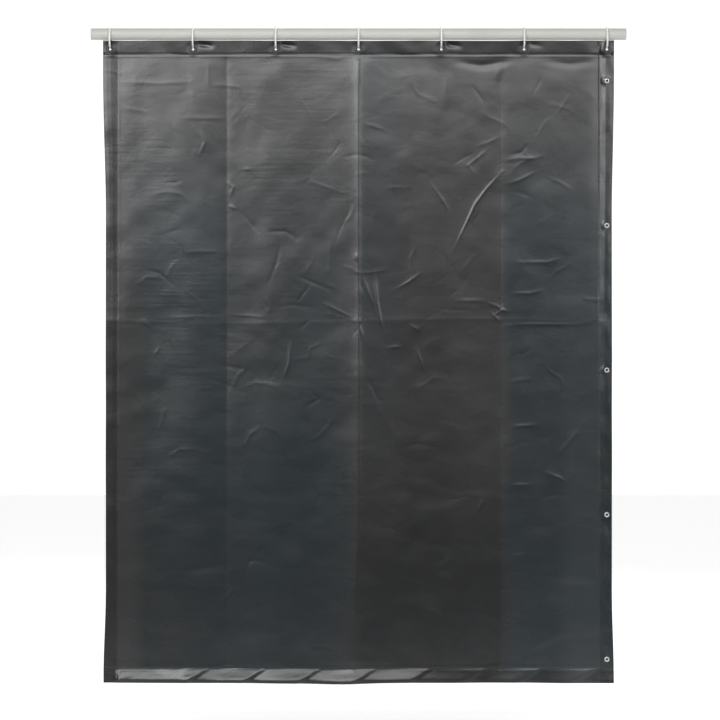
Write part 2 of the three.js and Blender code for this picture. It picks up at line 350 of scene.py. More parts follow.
def floor_material():
    """Pale matt studio floor that runs on into the white behind the curtain."""
    shader = Shader("stage_floor")
    _, y, _ = shader.axes()
    speck = shader.noise(3, 2)
    colour = shader.mix(speck, (0.90, 0.90, 0.90), (0.93, 0.93, 0.93))
    glow = shader.mix(y.smooth(-1.3, -0.2), (0, 0, 0), (1, 1, 1))
    return shader.surface(Base_Color=colour, Roughness=0.9, Emission_Color=glow, Emission_Strength=0.55)


# --- Mesh helpers
def new_object(name, data, material=None):
    made = bpy.data.objects.new(name, data)
    bpy.context.scene.collection.objects.link(made)
    if material is not None:
        data.materials.append(material)
    return made


def arc(centre_point, radius, start, end, steps=6):
    """Points of an arc, from one angle in degrees to another, both ends included."""
    angles = np.radians(np.linspace(start, end, steps + 1))
    return [(centre_point[0] + radius * math.cos(a), centre_point[1] + radius * math.sin(a)) for a in angles]


def turned_mesh(name, outline, sides, closed=True, recess_shade=None, sharp=35):
    """A solid turned about the Y axis from [radius, y] points; an open outline ends on the axis.

    Points within the recess, given by its radius and by where it starts and ends along Y, are marked for painted shade.
    Edges over the sharp angle, in degrees, stay sharp, so that flat and round faces both read true.
    """
    vertices, starts = [], []
    for r, y in outline:
        starts.append(len(vertices))
        if r < ON_AXIS:
            vertices.append((0.0, y, 0.0))
            continue
        for side in range(sides):
            angle = 2 * math.pi * side / sides
            vertices.append((r * math.cos(angle), y, -r * math.sin(angle)))
    faces = []
    count = len(outline)
    for row in range(count if closed else count - 1):
        a, b = starts[row], starts[(row + 1) % count]
        pole_a, pole_b = outline[row][0] < ON_AXIS, outline[(row + 1) % count][0] < ON_AXIS
        for side in range(sides):
            after = (side + 1) % sides
            if pole_a:
                faces.append((a, b + after, b + side))
            elif pole_b:
                faces.append((a + side, a + after, b))
            else:
                faces.append((a + side, a + after, b + after, b + side))
    mesh = bpy.data.meshes.new(name)
    mesh.from_pydata(vertices, [], faces)
    mesh.validate()
    mesh.shade_smooth()
    mesh.set_sharp_from_angle(angle=math.radians(sharp))
    if recess_shade is not None:
        reach, mouth, bottom = recess_shade
        inside = [float(math.hypot(x, z) < reach and mouth < y < bottom) for x, y, z in vertices]
        mesh.attributes.new("recess_shade", "FLOAT", "POINT").data.foreach_set("value", inside)
    return mesh


def change_points(mesh, change):
    """Moves every point of a mesh to where a function of their array puts it."""
    points = np.empty(len(mesh.vertices) * 3, np.float32)
    mesh.vertices.foreach_get("co", points)
    mesh.vertices.foreach_set("co", change(points.reshape(-1, 3)).ravel())
    mesh.update()
    return mesh


# --- Geometry node trees
def new_tree(name, sockets):
    """A geometry node group with a Geometry output and named inputs."""
    tree = bpy.data.node_groups.new(name, "GeometryNodeTree")
    tree.interface.new_socket("Geometry", in_out="OUTPUT", socket_type="NodeSocketGeometry")
    for label, kind in sockets.items():
        tree.interface.new_socket(label, in_out="INPUT", socket_type=f"NodeSocket{kind}")
    return tree, tree.nodes.new("NodeGroupInput").outputs


def add_node(tree, kind, inputs, **settings):
    """Adds a geometry node and returns its outputs."""
    node = tree.nodes.new(f"GeometryNode{kind}")
    for key, value in settings.items():
        setattr(node, key, value)
    for key, value in inputs.items():
        if isinstance(value, bpy.types.NodeSocket):
            tree.links.new(value, node.inputs[key])
        else:
            node.inputs[key].default_value = value
    return node.outputs


def finish_tree(tree, geometry, material):
    real = add_node(tree, "RealizeInstances", {"Geometry": geometry})
    coat = add_node(tree, "SetMaterial", {"Geometry": real[0], "Material": material})
    tree.links.new(coat[0], tree.nodes.new("NodeGroupOutput").inputs["Geometry"])
    return tree


def split_ring_tree(material):
    """A round wire run along an arc in the YZ plane, shut at both ends."""
    floats = dict.fromkeys(("Mean Radius", "Wire Radius", "Start Angle", "Sweep Angle"), "Float")
    tree, given = new_tree("Split Ring", {"Centre": "Vector", **floats})
    sweep = {key: given[key] for key in ("Start Angle", "Sweep Angle")}
    path = add_node(tree, "CurveArc", {"Resolution": 128, "Radius": given["Mean Radius"], **sweep}, mode="RADIUS")
    round_section = {"Resolution": 20, "Radius": given["Wire Radius"]}
    section = add_node(tree, "CurvePrimitiveCircle", round_section, mode="RADIUS")
    wire = add_node(tree, "CurveToMesh", {"Curve": path[0], "Profile Curve": section[0], "Fill Caps": True})
    place = {"Translation": given["Centre"], "Rotation": (math.pi / 2, 0, math.pi / 2)}
    upright = add_node(tree, "Transform", {"Geometry": wire[0], **place})
    return finish_tree(tree, upright[0], material)


def row_tree(material):
    """Copies of a piece, evenly spaced down a straight line."""
    tree, given = new_tree("Row of Copies", {"Piece": "Object", "First": "Vector", "Step": "Vector", "Count": "Int"})
    places = {"Count": given["Count"], "Start Location": given["First"], "Offset": given["Step"]}
    line = add_node(tree, "MeshLine", places, mode="OFFSET", count_mode="TOTAL")
    source = add_node(tree, "ObjectInfo", {"Object": given["Piece"]})
    copies = add_node(tree, "InstanceOnPoints", {"Points": line[0], "Instance": source["Geometry"]})
    return finish_tree(tree, copies[0], material)


def evaluated_piece(name, tree, inputs):
    """Runs a node tree with these inputs and keeps the result as a plain mesh object."""
    host = new_object(name, bpy.data.meshes.new(name))
    modifier = host.modifiers.new(tree.name, "NODES")
    modifier.node_group = tree
    for item in tree.interface.items_tree:
        if item.in_out == "INPUT" and item.name in inputs:
            modifier[item.identifier] = inputs[item.name]
    host.update_tag()
    bpy.context.view_layer.update()
    evaluated = host.evaluated_get(bpy.context.evaluated_depsgraph_get())
    mesh = bpy.data.meshes.new_from_object(evaluated)
    mesh.name = name
    host.modifiers.clear()
    host.data = mesh
    mesh.shade_smooth()
    return host


# --- Rail
def make_rail(settings):
    half = (RAIL_HIGH.x - RAIL_LOW.x) / 2
    outer, bore, edge = settings.radius, settings.radius - settings.wall, settings.edge
    outline = [
        *arc((bore + edge, -half + edge), edge, 180, 270),
        *arc((outer - edge, -half + edge), edge, 270, 360),
        *arc((outer - edge, half - edge), edge, 0, 90),
        *arc((bore + edge, half - edge), edge, 90, 180),
    ]
    mesh = change_points(turned_mesh("rail", outline, 96, sharp=60), lambda points: points[:, [1, 2, 0]])
    rail = new_object("rail", mesh, rail_material(settings))
    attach(rail, "rail")
    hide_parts("rail_tube")


# --- Rings
def make_rings(settings):
    tree = split_ring_tree(ring_material(settings))
    outside = (RING_HIGH.z - RING_LOW.z) / 2
    mean = round(outside - settings.wire_radius, 4)
    opening = settings.split / mean
    for number in range(1, RING_COUNT + 1):
        inputs = {
            "Centre": Vector((ring_x(number), 0, RING_HIGH.z - mean - settings.wire_radius)),
            "Mean Radius": mean,
            "Wire Radius": settings.wire_radius,
            "Start Angle": -settings.split_angle + opening / 2,
            "Sweep Angle": 2 * math.pi - opening,
        }
        ring = evaluated_piece(f"plastic_ring_{number}", tree, inputs)
        ring.data.set_sharp_from_angle(angle=math.radians(50))
        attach(ring, f"ring_station_{number}")
        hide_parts(f"ring_{number}")


# --- Eyelets
def eyelet_outline(settings, front, back):
    """From the rolled-in lip round the flange to its rim, back along the barrel and out to the curl."""
    bore, mouth = settings.bore, settings.mouth
    barrel = bore + settings.barrel_wall
    flange = (FLANGE_HIGH.x - FLANGE_LOW.x) / 2
    seat = front + 1.7 * MM
    lip, rim = 1.2 * MM, 0.55 * MM
    curl = back - 0.7 * MM
    return [
        (bore, seat),
        *arc((mouth + 0.4 * MM, seat - 0.4 * MM), 0.4 * MM, 90, 270, 8),
        *arc((bore + lip, front + lip), lip, 240, 270, 4),
        *arc((flange - 2.6 * MM, front + 3.2 * MM), 3.1 * MM, 272, 312, 6),
        *arc((flange - rim, seat - rim), rim, 320, 360, 3),
        (flange, seat),
        (barrel, seat),
        (barrel, curl),
        *arc((barrel + 0.95 * MM, curl + 0.35 * MM), 0.42 * MM, -60, 90, 6),
        *arc((bore + 0.6 * MM, curl + 0.1 * MM), 0.6 * MM, 90, 180, 4),
    ]


def washer_outline(settings, front, back):
    hole = settings.bore + settings.barrel_wall + 0.3 * MM
    flange = (FLANGE_HIGH.x - FLANGE_LOW.x) / 2
    edge = 0.3 * MM
    return [
        (hole, front),
        (flange, front),
        *arc((flange - edge, back - edge), edge, 0, 90, 4),
        *arc((hole + edge, back - edge), edge, 90, 180, 4),
    ]


def make_eyelets(settings):
    material = eyelet_material(settings)
    kinds = [("eyelet", "barrel", eyelet_outline), ("eyelet_washer", "backing", washer_outline)]
    for number in range(1, RING_COUNT + 1):
        spot = np.array((ring_x(number), 0, EYELET_Z), np.float32)
        for node, part, outline in kinds:
            low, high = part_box(f"{node}_{number}")
            mesh = turned_mesh(node, outline(settings, low.y, high.y), 72)
            change_points(mesh, lambda points: points + spot)
            piece = new_object(f"eyelet_{part}_{number}", mesh, material)
            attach(piece, f"ring_station_{number}")
            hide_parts(f"{node}_{number}")


# --- Snaps
def socket_outline(settings):
    seat, top = SOCKET_HIGH.y, SOCKET_LOW.y
    radius = (SOCKET_HIGH.z - SOCKET_LOW.z) / 2
    cavity = settings.cavity
    floor = seat - 0.8 * MM
    lip = 0.9 * MM
    hole = 2.2 * MM
    return [
        (cavity, floor),
        *arc((cavity + lip, top + lip), lip, 180, 270, 6),
        *arc((radius - 2.4 * MM, top + 1.3 * MM), 1.3 * MM, 270, 350, 6),
        *arc((radius - 0.4 * MM, seat - 0.45 * MM), 0.4 * MM, 280, 360, 4),
        (radius, seat),
        (hole, seat),
        (hole, floor),
    ]


def cap_outline():
    """A flat dome with a post that is flared inside the socket's cavity."""
    radius = (CAP_HIGH.z - CAP_LOW.z) / 2
    seat = CAP_HIGH.y - 1.6 * MM
    post, flare = 1.9 * MM, 2.7 * MM
    tip = CAP_LOW.y
    edge = 0.5 * MM
    slopes = (0.2, 0.5, 0.8, 1.1, 1.35)
    bowl = [(radius * 0.86 * math.cos(a), seat + 0.95 * MM + 0.65 * MM * math.sin(a)) for a in slopes]
    return [
        (0, tip + 0.35 * MM),
        (1.0 * MM, tip + 0.1 * MM),
        (post, tip),
        (flare, tip + 0.55 * MM),
        (post, tip + 0.62 * MM),
        (post, seat),
        (radius - 0.1 * MM, seat),
        *arc((radius - edge, seat + edge), edge, -20, 60, 5),
        *bowl,
        (0, CAP_HIGH.y),
    ]


def make_snaps(settings):
    material = snap_material(settings)
    tree = row_tree(material)
    first = Vector((SNAP_X, 0, SNAP_TOP_Z))
    step = Vector((0, 0, -settings.pitch))
    # The socket's cavity and the cap's post are marked to take painted shade.
    cavity = (settings.cavity + 0.1 * MM, SOCKET_LOW.y + 0.5 * MM, SOCKET_HIGH.y + 1 * MM)
    post = (CAP_POST_REACH, CAP_LOW.y - 1 * MM, 0)
    kinds = [("snap_socket", socket_outline(settings), True, cavity), ("snap_cap", cap_outline(), False, post)]
    for kind, outline, closed, recess_shade in kinds:
        pattern = new_object(f"{kind}_pattern", turned_mesh(kind, outline, 48, closed, recess_shade), material)
        inputs = {"Piece": pattern, "First": first, "Step": step, "Count": settings.count}
        row = evaluated_piece(f"{kind}s", tree, inputs)
        bpy.data.objects.remove(pattern)
        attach(row, f"ring_station_{RING_COUNT}")
        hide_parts(*(f"{kind}_{number}" for number in range(1, SNAP_COUNT + 1)))


# --- Film relief
# Relief is how far a point of the film lies behind the flat curtain; a crease
# or a billow towards the front is negative. A crease is given as its strength,
# its width and its points, across and down from the rail's axis, in millimetres.
SHARP_CREASES = [
    (1.0, 6, 395, 375, 350, 425, 320, 465, 290, 530, 260, 595),
    (0.4, 6, 195, 405, 230, 455, 250, 490),
    (1.0, 5, 45, 655, 50, 730, 60, 785, 70, 815),
    (0.5, 6, 10, 660, 50, 770),
    (0.42, 6, 100, 700, 135, 680, 170, 655),
    (0.5, 6, 140, 795, 170, 815),
    (0.5, 6, 75, 860, 120, 855),
    (0.42, 7, 355, 315, 300, 360, 320, 385),
    (0.42, 7, 400, 345, 440, 340, 485, 340, 510, 330),
    (0.4, 7, 405, 410, 440, 400, 490, 375),
    (0.5, 7, 430, 625, 515, 625, 555, 615),
    (0.42, 6, 415, 710, 470, 710, 510, 700),
    (0.4, 8, 260, 730, 350, 730),
    (0.5, 7, 395, 800, 440, 795, 585, 795, 635, 790),
    (0.22, 9, 225, 445, 245, 475, 240, 595, 260, 685),
    (0.6, 7, -185, 840, -190, 900, -205, 945),
    (0.7, 6, 155, 850, 180, 925),
    (0.6, 7, 510, 1200, 550, 1215, 570, 1230),
    (0.6, 7, 420, 1235, 470, 1235),
    (0.6, 7, 420, 1075, 490, 1070),
    (0.5, 10, 615, 1070, 545, 1155),
    (0.5, 7, 345, 1270, 325, 1310),
    (0.5, 7, 415, 1430, 465, 1425),
    (0.28, 9, -650, 130, -545, 135, -450, 130),
    (0.22, 9, -650, 200, -570, 215),
    (0.22, 9, -490, 230, -360, 230),
    (0.28, 7, -485, 595, -380, 595),
    (0.33, 7, -595, 785, -565, 805),
    (0.19, 8, -580, 775, -365, 775),
    (0.28, 7, -605, 685, -580, 665, -535, 670),
    (0.33, 7, -430, 255, -420, 295, -435, 330, -455, 320),
    (0.22, 7, -320, 370, -290, 370),
    (0.42, 38, -243, 62, -268, 150, -292, 290),
    (0.32, 28, -218, 62, -200, 165),
    (0.22, 7, -560, 880, -540, 850),
    (0.22, 7, -450, 970, -395, 970),
    (0.22, 9, -620, 970, -575, 1035),
    (0.7, 20, 235, 70, 245, 120, 240, 210),
    (0.8, 14, 390, 60, 382, 130),
    (0.3, 26, -455, 75, -452, 200),
    (0.35, 30, 137, 80, 140, 400),
    (0.45, 5, -100, 735, -50, 760, -8, 782),
    (0.4, 5, -95, 762, -45, 776, -8, 787),
    (0.5, 5, 4, 798, 12, 835),
    (0.5, 6, -8, 600, -3, 622),
    (0.5, 5, 350, 735, 380, 745, 402, 762),
    (0.5, 5, 368, 772, 395, 755, 418, 760),
    (0.45, 5, 392, 738, 402, 772),
    (0.4, 5, 358, 758, 392, 792),
    (0.45, 6, -366, 400, -344, 420, -350, 442),
    (0.4, 6, -356, 470, -332, 480),
    (0.5, 12, -120, 60, -60, 66, -20, 60),
]
HOLLOW_CREASES = [
    (1.5, 16, 262, 74, 335, 86, 412, 76),
    (0.9, 16, 515, 74, 580, 82, 655, 74),
    (0.31, 8, -325, 485, -265, 550),
    (0.37, 8, -250, 540, -200, 540, -160, 565),
    (0.31, 8, -215, 575, -225, 625, -245, 680),
    (0.37, 7, -170, 660, -115, 685, -75, 700),
    (0.31, 7, -135, 690, -170, 735),
    (0.31, 7, -135, 785, -160, 805),
    (0.31, 7, -80, 765, -20, 785),
    (0.37, 7, 465, 300, 445, 325, 415, 330),
    (0.37, 9, -140, 965, -110, 1000, -150, 1025),
    (0.37, 9, 20, 935, 50, 990, 70, 1030),
]
# How full the film hangs from ring to ring, and where each upright packing fold
# is, how high it stands and how far it reaches to the side.
GAP_FULLNESS = (0.8, 1.15, 0.65, 1.0, 1.25, 0.75)
PACKING_FOLDS = ((-0.362, -0.9, 0.036), (0.0, 2.4, 0.036), (0.388, -0.7, 0.034))


def smoothstep(value, low, high):
    t = np.clip((value - low) / (high - low), 0, 1)
    return t * t * (3 - 2 * t)


def lattice_noise(x, z, size, seed):
    """Smooth random values between -1 and 1 that change over this distance."""
    random = np.random.default_rng(SEED + seed)
    table = random.uniform(-1, 1, (64, 64))
    u, v = x / size + 17.3, z / size + 41.7
    i, j = np.floor(u).astype(int), np.floor(v).astype(int)
    s, t = u - i, v - j
    s, t = s * s * (3 - 2 * s), t * t * (3 - 2 * t)
    near = table[i % 64, j % 64] * (1 - s) + table[(i + 1) % 64, j % 64] * s
    far = table[i % 64, (j + 1) % 64] * (1 - s) + table[(i + 1) % 64, (j + 1) % 64] * s
    return near * (1 - t) + far * t


def crease(x, z, points, width):
    """1 on a line of points, falling off to the side over this width and towards both ends."""
    lengths = np.linalg.norm(np.diff(points, axis=0), axis=1)
    total = lengths.sum()
    best = np.full(x.shape, 1e9)
    along = np.zeros(x.shape)
    run = 0.0
    for start, end, length in zip(points[:-1], points[1:], lengths):
        direction = (end - start) / length
        t = np.clip((x - start[0]) * direction[0] + (z - start[1]) * direction[1], 0, length)
        distance = np.hypot(x - start[0] - t * direction[0], z - start[1] - t * direction[1])
        nearer = distance < best
        best = np.where(nearer, distance, best)
        along = np.where(nearer, run + t, along)
        run += length
    taper = np.sin(math.pi * np.clip(along / total, 0.0, 1.0) * 0.92 + 0.12)
    sharp = np.exp(-((best / (0.62 * width * MM)) ** 2))
    skirt = 0.30 * np.exp(-((best / (2.2 * width * MM)) ** 2))
    return (sharp + skirt) * np.clip(taper, 0, 1)


def add_creases(relief, x, z, creases, height):
    """Adds each crease inside its own window of the grid."""
    for strength, width, *numbers in creases:
        points = np.reshape(numbers, (-1, 2)) * (MM, -MM)
        reach = 8 * width * MM
        low, high = points.min(0) - reach, points.max(0) + reach
        columns = np.flatnonzero((x[:, 0] > low[0]) & (x[:, 0] < high[0]))
        rows = np.flatnonzero((z[0] > low[1]) & (z[0] < high[1]))
        window = np.ix_(columns, rows)
        relief[window] += height * strength * crease(x[window], z[window], points, width)


def stray_creases(count, seed):
    """Short faint creases scattered by hand and by folding."""
    random = np.random.default_rng(SEED + seed)
    made = []
    for _ in range(count):
        across = random.uniform(-620, 620)
        down = 100 + 1600 * random.beta(1.3, 1.6)
        heading = random.uniform(0, math.pi)
        points = [across, down]
        for _ in range(random.integers(2, 4)):
            heading += random.normal(0, 0.35)
            step = random.uniform(18, 48)
            across += step * math.cos(heading)
            down -= step * math.sin(heading)
            points += [across, down]
        strength = random.uniform(0.09, 0.28) * random.choice((-1, 1))
        made.append((strength, random.uniform(5, 9), *points))
    return made


def packing_fold(distance, height, reach):
    """A roof-shaped ridge, as a flattened fold leaves: sharp on its crest and hollow down its sides."""
    return -height * np.exp(-np.abs(distance) / reach)


def ring_drape(x, settings, z):
    """How far the film hangs back between one ring and the next."""
    first, last = ring_x(1), ring_x(RING_COUNT)
    pitch = (last - first) / GAP_COUNT
    place = np.clip((x - first) / pitch, 0, GAP_COUNT - 1e-6)
    gap = place.astype(int)
    share = place - gap
    fullness = np.array(GAP_FULLNESS)[gap]
    depth = (TOP - z) / (TOP - BOTTOM)
    amount = settings.drape_top + (settings.drape_bottom - settings.drape_top) * smoothstep(depth, 0, 0.8)
    return amount * fullness * np.sin(math.pi * share) ** 2


def hem_relief(x, z, settings):
    """Twist, drag folds and weld lines of the four hems."""
    hem = settings.hem
    hem_edge = hem - 3 * MM, hem + 1 * MM
    relief = np.zeros(x.shape)

    # The bottom hem faces up a little, more at the left, and is dragged into slanting pleats.
    in_bottom = 1 - smoothstep(z - BOTTOM, *hem_edge)
    below = np.clip((BOTTOM + hem - z) / hem, 0, 1)
    lean = 7.0 * MM * (1 - 0.75 * smoothstep(x, 0.05, 0.32))
    bulge = smoothstep(below, -0.05, 0.95) - 0.3 * smoothstep(below, 0.80, 1.0)
    relief -= in_bottom * lean * bulge * smoothstep(x - LEFT, 0.022, 0.045)
    ripple = lattice_noise(x * 0.25 + z, x * 0.4 - z, 0.012, 3)
    relief += in_bottom * 0.22 * MM * ripple * (1 - smoothstep(x, -0.30, 0.0))
    slant = x - (z - BOTTOM) * 1.6 + 0.012 * lattice_noise(x, 0, 0.21, 1) + 0.004
    pleat_pitch, crest = 0.150, 0.85
    share = (slant / pleat_pitch) % 1.0
    pleat = np.where(share < crest, share / crest, (1 - share) / (1 - crest))
    uneven = 0.8 + 0.4 * lattice_noise(np.floor(slant / pleat_pitch) * pleat_pitch, 0, 0.15, 5)
    from_corner = smoothstep(x - LEFT, 0.20, 0.24)
    relief -= in_bottom * 5.0 * MM * uneven * smoothstep(pleat, 0, 1) * (0.25 + 0.75 * below) * from_corner
    pucker = np.exp(-(((x - LEFT - 0.040) / 0.006) ** 2)) * np.sin((z - BOTTOM) * 2 * math.pi / 0.021)
    relief -= in_bottom * 0.5 * MM * pucker

    # The top hem faces down a little, so that the film just below it faces up.
    in_top = 1 - smoothstep(TOP - z, *hem_edge)
    lower = np.clip((TOP - z) / hem, 0, 1)
    past = np.clip(TOP - hem - z, 0, None)
    relief += 1.8 * MM * (lower * in_top + (1 - in_top) * np.exp(-past / 0.075))
    relief += in_top * 0.6 * MM * lattice_noise(x + (z - TOP) * 1.2, 0, 0.055, 2)
    for number, size in ((2, 1.0), (3, 1.0), (5, 0.8), (6, 0.35)):
        run = x - ring_x(number)
        valley = TOP - 0.010 - 0.15 * (run - 0.013)
        spread = smoothstep(run, 0.011, 0.022) * (1 - smoothstep(run, 0.028, 0.064))
        over = z - valley
        relief += size * 3.2 * MM * spread * np.exp(-((over / np.where(over > 0, 0.0080, 0.0062)) ** 2))

    # The side hems face a little outwards and are puckered, the right one more, between its snaps.
    upper = smoothstep(z, -0.75, -0.45)
    for edge, side, amount, fluted, rise, seed in (
        (LEFT, 1, 0.35 * MM, 0.08 * MM, 0.8 * MM + 0.4 * MM * upper, 6),
        (RIGHT, -1, 1.3 * MM, 0.15 * MM, 1.3 * MM + 2.2 * MM * smoothstep(z, -0.9, -0.3), 7),
    ):
        away = (x - edge) * side
        in_side = 1 - smoothstep(away, *hem_edge)
        inward = np.clip(away / hem, 0, 1)
        past = np.clip(away - hem, 0, None)
        wave = lattice_noise(z + (x - edge) * 1.1, 0, 0.048, seed)
        relief += in_side * amount * wave * np.sin(math.pi * inward)
        puffed = (0.6 + 0.9 * (side < 0)) * (0.4 + 0.6 * upper)
        relief -= in_side * puffed * 1.4 * MM * np.sin(math.pi * inward)
        flute = 2 * math.pi * away / 0.0135 + 1.2 * lattice_noise(z, 0, 0.3, seed + 10)
        relief += in_side * fluted * np.sin(flute) * np.sin(math.pi * inward)
        relief += rise * (inward * in_side + (1 - in_side) * np.exp(-past / 0.026))

    # Each weld is a shallow groove with a raised bead on the field's side.
    for away in (x - LEFT, RIGHT - x, TOP - z, z - BOTTOM):
        relief += 0.45 * MM * np.exp(-(((away - hem + 2 * MM) / (2.2 * MM)) ** 2))
        relief -= 0.30 * MM * np.exp(-(((away - hem - 3.5 * MM) / (2.8 * MM)) ** 2))
    return relief


def film_relief(x, z, settings):
    """Depth of the front face behind the flat curtain, over the whole grid."""
    height = settings.crease_height
    relief = ring_drape(x, settings, z)
    inside = smoothstep(np.minimum.reduce([x - LEFT, RIGHT - x, z - BOTTOM]), 0, 0.09)
    relief += inside * 1.6 * MM * lattice_noise(x, z * 0.45, 0.23, 0)
    relief += 0.9 * MM * lattice_noise(x, z * 0.8, 0.11, 10)
    relief += 0.35 * MM * lattice_noise(x, z, 0.045, 11)

    # The film was folded in four across and in two down when it was packed. The centre fold stands out
    # furthest, and each has a sharper crest on one side.
    drift = 6 * MM * lattice_noise(z, 0, 0.5, 12)
    in_field = 0.2 + 0.8 * smoothstep(np.minimum(z - BOTTOM, TOP - z), 0.032, 0.062)
    for place, rise, reach in PACKING_FOLDS:
        sag = -0.012 * smoothstep(-z, 1.25, 1.75) if place == 0.0 else 0.0
        vary = in_field * (0.8 + 0.3 * lattice_noise(z, 0, 0.3, int(place * 10)))
        away = x - place - drift * 0.4 - sag
        relief += vary * packing_fold(away, 1.7 * MM * rise, reach)
        relief += vary * packing_fold(away, 1.05 * MM * rise, np.where(away * rise > 0, 0.0065, 0.013))
    waist, faint_fold = -0.786, -1.235
    vary = 0.7 + 0.4 * lattice_noise(x, 0, 0.3, 13)
    relief += vary * packing_fold(z - waist - 0.006 * np.sin(x * 5), height * 0.42, 0.012)
    relief += 0.5 * vary * packing_fold(z - faint_fold - 0.006 * np.sin(x * 4 + 1), height * 0.28, 0.020)

    add_creases(relief, x, z, SHARP_CREASES, -height)
    add_creases(relief, x, z, HOLLOW_CREASES, height)
    add_creases(relief, x, z, stray_creases(140, 20), -height)
    relief += hem_relief(x, z, settings)

    # The eyelets and the snaps hold the film to the flat curtain and press it flat round them,
    # fully within an inner radius and not at all beyond an outer one.
    hold_reach = 65 * MM
    for across, up, inner, outer in holes((10.5 * MM, 24 * MM), (7.5 * MM, 18 * MM)):
        distance = np.hypot(x - across, z - up)
        held = relief[np.unravel_index(np.argmin(distance), x.shape)]
        relief -= held * (1 - smoothstep(distance, 0, hold_reach))
        relief *= smoothstep(distance, inner, outer)
    return relief


def holes(at_eyelets, at_snaps):
    """The place of each eyelet and snap, across and up, with the values that are given for its kind."""
    eyelets = [(ring_x(number), EYELET_Z, *at_eyelets) for number in range(1, RING_COUNT + 1)]
    return eyelets + [(SNAP_X, SNAP_TOP_Z - number * SNAP_PITCH, *at_snaps) for number in range(SNAP_COUNT)]


def edge_shift(x, z):
    """The film's edges aren't quite straight: how far each point moves across and up."""
    left = 1 - smoothstep(x - LEFT, 0, 0.035)
    right = 1 - smoothstep(RIGHT - x, 0, 0.035)
    middle = smoothstep(-z, 0.08, 0.5) * (1 - 0.8 * smoothstep(-z, 1.50, 1.77))
    wobble = lattice_noise(z, 0, 0.14, 30)
    across = left * (7.5 * MM * middle + 0.6 * MM * wobble) - right * (5.8 * MM * middle + 0.6 * MM * wobble)
    high = 1 - smoothstep(TOP - z, 0, 0.05)
    low = 1 - smoothstep(z - BOTTOM, 0, 0.10)
    up = -high * 1.2 * MM * (0.5 + 0.5 * lattice_noise(x, 0, 0.06, 31))
    up = up + low * 1.6 * MM * lattice_noise(x, 0, 0.16, 32)
    up = up - low * 3.5 * MM * np.exp(-(((x + 0.05) / 0.09) ** 2))
    return across, up


# --- Film mesh
def grid_lines(breaks, spacing):
    """Even lines between fixed ones, no further apart than the spacing."""
    lines = [breaks[0]]
    for start, end in zip(breaks[:-1], breaks[1:]):
        count = max(1, math.ceil((end - start) / spacing - 1e-6))
        lines.extend(np.linspace(start, end, count + 1)[1:])
    return np.array(lines)


def film_lines(settings):
    """Grid lines across and up, with close pairs where a hem's edge steps."""
    step = 0.4 * MM
    hem = settings.hem
    strips = [LEFT, *HINGE_X, RIGHT]
    seams = [(a + b) / 2 for a, b in zip(strips[1:-2], strips[2:-1])]
    across = sorted({LEFT, LEFT + hem - step, LEFT + hem, RIGHT - hem, RIGHT - hem + step, RIGHT, *seams})
    up = [BOTTOM, BOTTOM + hem - step, BOTTOM + hem, TOP - hem, TOP - hem + step, TOP]
    return grid_lines(across, settings.spacing), grid_lines(up, settings.spacing), [LEFT, *seams, RIGHT]


def unit(vectors):
    return vectors / np.linalg.norm(vectors, axis=-1, keepdims=True)


def grid_normals(points):
    return unit(np.cross(np.gradient(points, axis=0), np.gradient(points, axis=1)))


def punched_cells(x, z):
    """Cells under each eyelet's flange and each snap, where the film is punched."""
    sides = slice(None, -1), slice(1, None)
    cut = np.zeros((x.shape[0] - 1, x.shape[1] - 1), bool)
    for across, up, radius in holes((10.2 * MM,), (6.0 * MM,)):
        punched = np.hypot(x - across, z - up) < radius
        cut |= np.logical_and.reduce([punched[i, j] for i in sides for j in sides])
    return cut


def wall_quads(keep, rows, count):
    """Quads that join front and back round the outside and round each hole."""
    padded = np.pad(keep, 1)
    walls = []
    sides = [((-1, 0), (0, 1), (0, 0)), ((1, 0), (1, 0), (1, 1))]
    sides += [((0, -1), (0, 0), (1, 0)), ((0, 1), (1, 1), (0, 1))]
    for (di, dj), (ai, aj), (bi, bj) in sides:
        neighbour = padded[1 + di : padded.shape[0] - 1 + di, 1 + dj : padded.shape[1] - 1 + dj]
        i, j = np.nonzero(keep & ~neighbour)
        a = (i + ai) * rows + j + aj
        b = (i + bi) * rows + j + bj
        walls.append(np.stack([b, a, a + count, b + count], 1))
    return np.vstack(walls)


